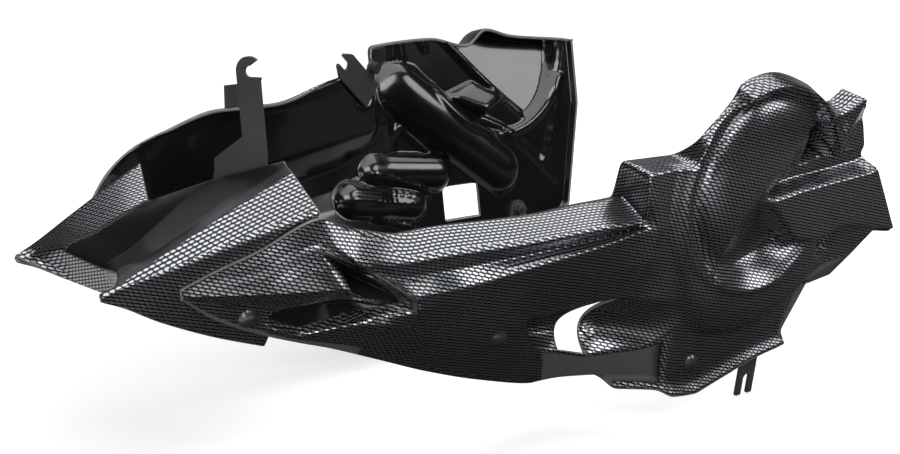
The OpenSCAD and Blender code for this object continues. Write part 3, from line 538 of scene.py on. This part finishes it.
def pod_relief(x, z):
    """Two long round pods pressed inwards, each a half round across a straight line, with ribs
    along them, and the sloping facet on the arm before them."""
    depth = 0
    for a, b, half in PODS:
        d = to_segment(x, z, a, b) / half
        depth = np.maximum(depth, POD_DEPTH * np.sqrt(1 - slope(d) ** 2))
    ribs = np.max([rib(x, z, [(43, 16), (86, 56), (130, 17)], 4), rib(x, z, [(43, 16), (6, 1)], 4),
                   rib(x, z, [(43, 14), (100, -6), (112, -14)], 16),
                   rib(x, z, [(14, 2), (90, -13)], 14.4), rib(x, z, [(14, -6), (88, -21)], 14.4),
                   rib(x, z, [(6, 1), (38, -27), (90, -42)], 5)], axis=0)
    along_arm = ease((x + 190) / 60) * (1 - ease((x - 60) / 25))
    fold = 11 * slope(1 - np.abs(z - 52 - 0.11 * x) / 46) * along_arm
    return -np.maximum(np.maximum(depth, ribs), fold)


ARROW = [(-215, 32), (-204, 26), (-176, 14), (-158, -2), (-145, -12), (-144, -20), (-160, -20),
         (-191, -6), (-194, 11)]
UNDERCUT = [(-240, -19), (-225, -12), (-191, -6), (-160, -13), (-144, -17), (-144, -21),
            (-160, -22), (-193, -30), (-212, -36), (-232, -28)]
ARROW_DEPTH, UNDERCUT_DEPTH = 12, 8


def wedge_relief(x, z):
    """Behind the side panel's pointed front: a deep arrow-shaped recess with a proud lip round its
    rear, and a shallower undercut below it."""
    cut = np.maximum(ARROW_DEPTH * slope(depth_inside(x, z, ARROW) / 3.5 + 0.2),
                     UNDERCUT_DEPTH * slope(depth_inside(x, z, UNDERCUT) / 3.5 + 0.2))
    return rib(x, z, ARROW[:6], 2.5, 4) - cut


def seated(g, seats):
    """Flat seats: points near a screw's axis move onto the plane across it, all the way within the
    seat and less and less around it."""
    g = g.copy()
    for spot, axis in seats:
        d = g - spot
        h = d @ axis
        r = np.linalg.norm(d - h[..., None] * axis, axis=2) - SEAT_R
        w = (1 - ease(r / SEAT_FADE)) * (np.abs(h) < SEAT_REACH)
        g -= axis * (h * w)[..., None]
    return g


# ---------------------------------------------------------------- finishes
class Wire:
    """A socket of a tree of shader nodes; arithmetic on it adds the Math nodes."""

    def __init__(self, nodes, socket):
        self.nodes, self.socket = nodes, socket

    def __add__(self, other):
        return self.nodes.math("ADD", self, other)

    def __radd__(self, other):
        return self.nodes.math("ADD", other, self)

    def __sub__(self, other):
        return self.nodes.math("SUBTRACT", self, other)

    def __rsub__(self, other):
        return self.nodes.math("SUBTRACT", other, self)

    def __mul__(self, other):
        return self.nodes.math("MULTIPLY", self, other)

    def __rmul__(self, other):
        return self.nodes.math("MULTIPLY", other, self)

    def __truediv__(self, other):
        return self.nodes.math("DIVIDE", self, other)

    def __rtruediv__(self, other):
        return self.nodes.math("DIVIDE", other, self)


class Nodes:
    """A tree of shader nodes, written down as expressions."""

    def __init__(self, tree):
        self.tree = tree

    def put(self, socket, value):
        """Links a wire to a socket, or sets the socket to a plain value."""
        if isinstance(value, Wire):
            self.tree.links.new(value.socket, socket)
        else:
            socket.default_value = value

    def node(self, kind, values=(), settings=(), out=0):
        """Adds a node: its settings first, then its sockets' values or links. Gives one output."""
        made = self.tree.nodes.new("ShaderNode" + kind)
        for key, value in dict(settings).items():
            setattr(made, key, value)
        for key, value in dict(values).items():
            self.put(made.inputs[key], value)
        return Wire(self, made.outputs[out])

    def math(self, operation, *values):
        """A Math node of some operation on one or two values."""
        return self.node("Math", dict(enumerate(values)), {"operation": operation})

    def ramp(self, value):
        """The value kept between nought and one."""
        return self.math("MINIMUM", self.math("MAXIMUM", value, 0.0), 1.0)

    def mix(self, amount, a, b):
        """Colour between two: the first at an amount of nought, the second at one."""
        return self.node("Mix", {0: amount, 6: a, 7: b}, {"data_type": "RGBA"}, 2)

    def noise(self, where, scale, detail=2):
        """Soft noise from nought to one."""
        return self.node("TexNoise", {"Vector": where, "Scale": scale, "Detail": detail})

    def place(self):
        """Place on the object in metres."""
        return self.node("TexCoord", out="Object")

    def split(self, vector):
        """The three numbers of a vector."""
        made = self.node("SeparateXYZ", {0: vector}).socket.node
        return [Wire(self, output) for output in made.outputs]


class Finish(Nodes):
    """A material around one Principled shader."""

    def __init__(self, name, **constants):
        self.material = bpy.data.materials.new(name)
        self.material.use_nodes = True
        super().__init__(self.material.node_tree)
        self.shader = self.tree.nodes["Principled BSDF"]
        self.set(**constants)

    def set(self, **values):
        """Sets or links the shader's sockets, whose names have underlines for spaces here."""
        for key, value in values.items():
            self.put(self.shader.inputs[key.replace("_", " ")], value)

    def bump(self, height, distance, strength=1.0):
        """Raises the surface's look by a height from nought to one, times a distance in metres."""
        self.set(Normal=self.node("Bump", {"Height": height, "Distance": distance,
                                           "Strength": strength}))


def grey(v, tint=(1, 1, 1)):
    """Grey of some brightness, with each channel times its tint."""
    return (v * tint[0], v * tint[1], v * tint[2], 1)


WEAVE_ROW, WEAVE_DASH, WEAVE_TURN = 0.0025, 0.0043, math.radians(14)
DASH_SLANT, DASH_LONG, DASH_WIDE = 0.35, 0.42, 0.3      # shares of a dash and of a row
SILVER_TINT = (0.95, 0.98, 1.05)


def carbon_film():
    """Printed weave under clear lacquer: rows of slanted silvery dashes on black, every other row
    moved by half a dash; a dash is an ellipse with a soft edge. Plain gloss black where the
    attribute fades, which in hollows and grooves is painted shade, and satin grey below nought,
    which along lips and edges is a painted highlight and on a lower bar a painted reflection."""
    f = Finish("carbon film", Coat_Weight=0.3, Coat_Roughness=0.1, Specular_IOR_Level=0.2)
    uv = f.node("UVMap", settings={"uv_map": "weave"})
    x, y, _ = f.split(f.node("Mapping", {"Vector": uv, "Rotation": (0, 0, WEAVE_TURN)}))
    row = y / WEAVE_ROW
    across = f.math("FRACT", row) - 0.5
    shift = 0.5 * f.math("MODULO", f.math("FLOOR", row), 2.0)
    along = f.math("FRACT", x / WEAVE_DASH + shift + across * DASH_SLANT) - 0.5
    long_way, short_way = along / DASH_LONG, across / DASH_WIDE
    away = f.math("SQRT", long_way * long_way + short_way * short_way)
    dash = f.ramp((1.1 - away) / 0.3)
    kind = f.node("Attribute", settings={"attribute_name": "film_and_painted_light"}, out="Fac")
    cover, satin = f.math("MAXIMUM", kind, 0.0), f.math("MAXIMUM", 0.0 - kind, 0.0)
    cloudy = f.noise(f.place(), 14.0)
    silver = f.mix(cloudy, grey(0.36, SILVER_TINT), grey(0.5, SILVER_TINT))
    woven = f.mix(dash, grey(0.004), silver)
    # satin grey is painted highlight on lips and edges; faded print is painted shade in hollows
    bare = f.mix(satin, grey(0.008), grey(0.07))
    f.set(Base_Color=f.mix(cover, bare, woven), Metallic=dash * cover,
          Roughness=0.235 + dash * 0.03 + satin * 0.2)
    f.bump(dash * cover, 0.00006, 0.5)
    return f.material


def gloss_black():
    """Bare moulded inside: gloss black plastic with faint flow ripples."""
    f = Finish("gloss black inside", Base_Color=grey(0.004), Specular_IOR_Level=0.6,
               Coat_Weight=0.5, Coat_Roughness=0.06)
    where = f.place()
    f.set(Roughness=0.14 + f.noise(where, 30.0) * 0.1)
    f.bump(f.noise(where, 18.0, 1), 0.0006, 0.25)
    return f.material


def rim_grey_painted_highlight():
    """Trimmed edge of the sheet: satin grey, lighter than the sheet as a painted highlight that
    stands in for the light its rounded edges catch, with fine cutting marks.
    """
    f = Finish("trimmed edge")
    where = f.place()
    # grey lighter than the sheet: painted highlight along the rounded edges
    f.set(Base_Color=f.mix(f.noise(where, 60.0), grey(0.1), grey(0.2)),
          Roughness=0.34 + f.noise(where, 220.0) * 0.18)
    return f.material


def powder_steel():
    """Powder-coated steel: dark grey with a fine orange-peel grain."""
    f = Finish("powder coated steel")
    where = f.place()
    grain = f.noise(where, 900.0, 3)
    f.set(Base_Color=f.mix(f.noise(where, 35.0), grey(0.03), grey(0.055)),
          Roughness=0.42 + grain * 0.16)
    f.bump(grain, 0.00008, 0.5)
    return f.material


def black_coating():
    """Black coated screws with light wear."""
    f = Finish("black coated screws", Coat_Weight=1.0, Coat_Roughness=0.08, Specular_IOR_Level=0.7)
    worn = f.noise(f.place(), 260.0, 4)
    f.set(Base_Color=f.mix(worn, grey(0.01), grey(0.035)), Roughness=0.28 + worn * 0.16)
    return f.material


def dark_zinc():
    """Dark zinc nuts and washers with blotches."""
    f = Finish("dark zinc", Metallic=0.9)
    blotch = f.noise(f.place(), 320.0, 4)
    f.set(Base_Color=f.mix(blotch, grey(0.1), grey(0.2)), Roughness=0.32 + blotch * 0.2)
    return f.material


def rubber_black():
    """Moulded rubber, matt with a fine grain."""
    f = Finish("moulded rubber", Roughness=0.8)
    grain = f.noise(f.place(), 1200.0, 3)
    f.set(Base_Color=f.mix(grain, grey(0.01), grey(0.024)))
    f.bump(grain, 0.00006, 0.6)
    return f.material


# ---------------------------------------------------------------- the three shells
SHELL_FINISHES = [carbon_film(), gloss_black(), rim_grey_painted_highlight()]      # outer skin, inner skin, edges
FRONT_SEAT = (on_nose(-249, -19), FLANK_OUT)
LEFT_SEATS = [FRONT_SEAT, (point(-57.4, -135.4, -58.4), unit(point(-0.096, -0.851, -0.516))),
              (on_plate(122, -104), PLATE_OUT)]     # front, middle and rear screw
RIGHT_SEATS = [FRONT_SEAT, (point(-51.2, -134.1, -59.2), unit(point(-0.132, -0.812, -0.568))),
               (on_plate(226, -42), PLATE_OUT),
               (point(31, -172.3, 99), unit(point(-0.37, -1, 0.245)))]      # and the fork stay's
DISH_DEPTH = 24         # how far the left panel dips beside its opening


def kept_cells(s, l, hole):
    """Which cells of a grid stay: all whose middle, in stations and lines, isn't in the hole."""
    mid_s, mid_l = (s[:-1] + s[1:]) / 2, (l[:-1] + l[1:]) / 2
    return ~hole(mid_s[:, None], mid_l[None])


def nose_panel():
    """The nose: its net, cut off behind station 4 but for the middle, where the flange goes down.
    The channel between lines 2 and 5 is gloss black from its front lip up to the rolled rim."""
    g, s, l = fine_grid(NOSE_NET, FINE, [4], 1)
    kept = kept_cells(s, l, lambda i, j: (i > 4) & ((j < 3) | (j > 5)))
    valley = ease((l - 2.02) / 0.1) * (0.75 + 0.25 * ease((l - 2.4) / 0.3)) * ease((5 - l) / 0.1)
    middle = ease((4.6 - s) / 0.3) * ease((s - 0.95) / 0.06)
    film_and_painted_light = 1 - valley[None] * middle[:, None]
    piece = moulded_sheet("nose_shell", g, outward(g, 1), kept, False, SHELL_FINISHES, film_and_painted_light)
    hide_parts("nose_panel")


def left_film_and_painted_light(x, z, s, l):
    """The left panel's print and painted light: satin grey bars along the lower edge, the one
    below the opening lightened as a painted reflection of the floor, satin grey lines as painted
    highlights along the lower front edge and round the wedge's lip, gloss black without print in
    the hollows as painted shade, and the print thinned along the left of the ring's groove as
    painted shade."""
    lower = ease((l - 7.0) / 0.3)[None]
    # satin grey bar below the opening, lightened as a painted reflection of the floor; satin grey
    # tab at the rear
    bar = ease((s - 8.2) / 0.2) * (1 - ease((s - 12) / 0.8))
    tab = ease((s - 18.3) / 0.3) * (1 - ease((s - 19.9) / 0.1))
    film_and_painted_light = 1 - 2 * lower * (bar + tab)[:, None] * (1 - ease((l - 9.3) / 0.3) * (s[:, None] > 11))
    # painted highlight: a satin grey line along the lower front edge
    film_and_painted_light[np.ix_(s < 4.5, l > 8.8)] = -1
    # painted shade: the hollows lose the print and show gloss black
    painted_shade_in_hollows = np.max([slope(depth_inside(x, z, outline) / 4)
                     for outline in (UPPER_POCKET, LOWER_POCKET, ARROW, UNDERCUT)], axis=0)
    # painted shade: the print thins along the left part of the ring's groove to darken it
    past_ring = np.hypot(x - RING_X, z - RING_Z) - RING_R
    painted_groove_shade = (hump((past_ring + 10) / 7) * slope((RING_X + 50 - x) / 40) * (z > RING_Z - 70))
    film_and_painted_light = np.where(film_and_painted_light > 0, film_and_painted_light * (1 - painted_shade_in_hollows) * (1 - 0.75 * painted_groove_shade), film_and_painted_light)
    # painted highlight: a satin grey line along the wedge's lip
    lip = rib(x, z, ARROW[:6], 1, 2.6) * (s < 7)[:, None]
    return film_and_painted_light * (1 - lip) - lip


def left_side_panel():
    """The left panel: its net, a dish pressed in between lines 6 and 7 beside the opening, then
    the plate's relief from station 11 on and the wedge's before station 7, and flat seats."""
    g, s, l = fine_grid(LEFT_NET, COARSE, [11], 1)
    x, z = g[..., 0], g[..., 2]
    edge = np.ones(len(s))[:, None] * ease((l - 0.95) / 0.35)
    edge[s > 19.99] = 0
    grow = ease((s - 11) / 1.2)[:, None]
    hollow_way = (slope((s - 8) / 0.12) * (1 - ease((s - 10) / 3)))[:, None]
    dish = DISH_DEPTH * np.sin(np.pi * np.clip(l[None] - 6, 0, 1)) * hollow_way
    g = (g + PLATE_OUT * (left_relief(x, z) * grow * edge)[..., None]
         + point(0, 1, 0) * dish[..., None])
    g += PLATE_OUT * (wedge_relief(x, z) * (s < 7)[:, None] * edge)[..., None]
    g = softened(g, 1)
    g = seated(g, LEFT_SEATS)
    kept = kept_cells(s, l, lambda i, j: (i > 9) & (i < 10) & (j > 6) & (j < 7))
    film_and_painted_light = left_film_and_painted_light(x, z, s, l)
    piece = moulded_sheet("left_shell", g, outward(g, -1), kept, True, SHELL_FINISHES, film_and_painted_light)
    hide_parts("left_side_panel")


def right_side_panel():
    """The right panel: its net, drawn on the left side, with the plate's relief from station 6 on
    and the pods, flat seats, and Y turned round at the end."""
    g, s, l = fine_grid(RIGHT_NET, COARSE, [6], 2)
    x, z = g[..., 0], g[..., 2]
    edge = np.ones(g.shape[:2])
    edge[:, l < 1] = 0
    edge[s > 12.99] = 0
    grow = ease((s - 6) / 2)[:, None]
    rise = right_relief(x, z) * grow * edge + pod_relief(x, z)
    g = softened(g + PLATE_OUT * rise[..., None], 1)
    g = seated(g, RIGHT_SEATS)
    kept = kept_cells(s, l, lambda i, j: (i > 8) & (i < 9) & (j > 3) & (j < 4))
    piece = moulded_sheet("right_shell", far(g), far(outward(g, -1)), kept, False,
                          SHELL_FINISHES, np.ones(g.shape[:2]))
    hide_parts("right_side_panel")


nose_panel()
left_side_panel()
right_side_panel()

COATS = {"stay_steel": powder_steel(), "black_screws": black_coating(), "dark_nuts": dark_zinc(),
         "rubber": rubber_black()}
for sub in frame["record"]["subparts"]:
    coat = COATS.get(sub["material_slot"])
    if coat:
        node = frame["nodes"][sub["node"]]
        node.data.materials.clear()
        node.data.materials.append(coat)


# ---------------------------------------------------------------- camera, lamps and backdrop
# The camera stands before the bike's left side, a little above; its lens is in millimetres.
EYE = np.array([-0.7428, -0.9529, 0.2553])
TURN, TILT = math.radians(-38), math.radians(12)
SENSOR, LENS = 36, 58.24
BEHIND = (0.6, 0.77, -0.5)      # from the camera past the object, and down
AHEAD = np.array([-math.sin(TURN) * math.cos(TILT), math.cos(TURN) * math.cos(TILT),
                  -math.sin(TILT)])
FLOOR_Z, FLOOR_HALF = -0.151, 20


def linked(name, data, place=(0, 0, 0), target=None):
    """Adds an object, and turns a camera or lamp towards its target."""
    obj = bpy.data.objects.new(name, data)
    bpy.context.collection.objects.link(obj)
    if target is not None:
        obj.location = Vector(place)
        obj.rotation_mode = "QUATERNION"
        obj.rotation_quaternion = (Vector(target) - Vector(place)).to_track_quat("-Z", "Y")
    return obj


def lamp(name, place, size, power, target=(0, 0, 0)):
    """Rectangular lamp of a size in metres and a power in watts, turned to its target."""
    light = bpy.data.lights.new(name, "AREA")
    light.shape, light.energy = "RECTANGLE", power
    light.size, light.size_y = size
    linked(name, light, place, target)


def studio_paper():
    """Pale floor. The camera sees it paler away from the object, up to white. Glossy rays see
    painted reflections: dark close by, a painted shadow in place of the shaded floor, and light
    paper further out and at the front and back."""
    f = Finish("studio paper", Roughness=0.9, Specular_IOR_Level=0.1)
    where = f.place()
    reach = f.node("VectorMath", {0: where}, {"operation": "LENGTH"}, "Value")
    glow = f.ramp((reach - 0.5) / 0.6)
    to_camera = f.node("LightPath", out="Is Camera Ray")
    white = f.mix(to_camera * (glow * 0.45 + 0.55), grey(0), grey(1))
    x, y, _ = f.split(where)
    front_left = f.ramp((reach - 0.42) / 0.2) * f.ramp((0.25 - x) / 0.3)
    beyond = f.ramp(f.math("MAXIMUM", -0.33 - x, y - 0.1) / 0.1)
    # painted shadow in reflections: dark near the object, lighter further out
    painted_shadow_close_by = f.mix(f.ramp((reach - 0.3) / 0.5), grey(0.01), grey(0.1))
    mirrored = f.mix(beyond, f.mix(front_left, painted_shadow_close_by, grey(0.6)), grey(0.8))
    f.set(Base_Color=f.mix(f.node("LightPath", out="Is Glossy Ray"), grey(0.65), mirrored),
          Emission_Color=white, Emission_Strength=1)
    return f.material


def backdrop(world):
    """Faint cool light all round, stronger in the direction behind the object, and plain white
    where a camera ray or a ray through glass meets it."""
    world.use_nodes = True
    world.node_tree.nodes.clear()
    w = Nodes(world.node_tree)
    behind = w.node("VectorMath", {0: w.node("TexCoord", out="Generated"), 1: BEHIND},
                    {"operation": "DOT_PRODUCT"}, "Value")
    wall = w.node("MapRange", {"Value": behind, "From Min": 0.3, "From Max": 0.8, "To Max": 0.25},
                  {"interpolation_type": "SMOOTHSTEP"}, "Result")
    lit = w.node("Background", {"Color": (0.9, 0.95, 1, 1), "Strength": wall + 0.02})
    white = w.node("Background", {"Color": grey(1), "Strength": 1})
    straight = w.math("MAXIMUM", w.node("LightPath", out="Is Camera Ray"),
                      w.node("LightPath", out="Is Transmission Ray"))
    shown = w.node("MixShader", {0: straight, 1: lit, 2: white})
    w.put(w.tree.nodes.new("ShaderNodeOutputWorld").inputs["Surface"], shown)


eye = linked("eye", bpy.data.cameras.new("eye"), EYE, EYE + AHEAD)
eye.data.sensor_width, eye.data.lens = SENSOR, LENS
eye.data.clip_start, eye.data.clip_end = 0.01, 30
bpy.context.scene.camera = eye

lamp("roof_light", (0.15, -0.15, 1.75), (3.0, 2.3), 46, (0.1, 0, 0))
lamp("key_light", (-0.3, -2.0, 1.6), (1.8, 0.8), 24)
lamp("front_light", (-2.0, -1.5, 0.3), (0.8, 1.2), 15)
lamp("side_light", (1.6, -1.45, 1.05), (0.9, 0.7), 8.5)

floor_mesh = bpy.data.meshes.new("floor")
floor_mesh.from_pydata([(x * FLOOR_HALF, y * FLOOR_HALF, FLOOR_Z)
                        for x, y in ((-1, -1), (1, -1), (1, 1), (-1, 1))], [], [(0, 1, 2, 3)])
floor_mesh.materials.append(studio_paper())
floor = linked("floor", floor_mesh)

bpy.context.scene.world = bpy.data.worlds.new("studio")
backdrop(bpy.context.scene.world)
bpy.context.scene.view_settings.view_transform = "Standard"
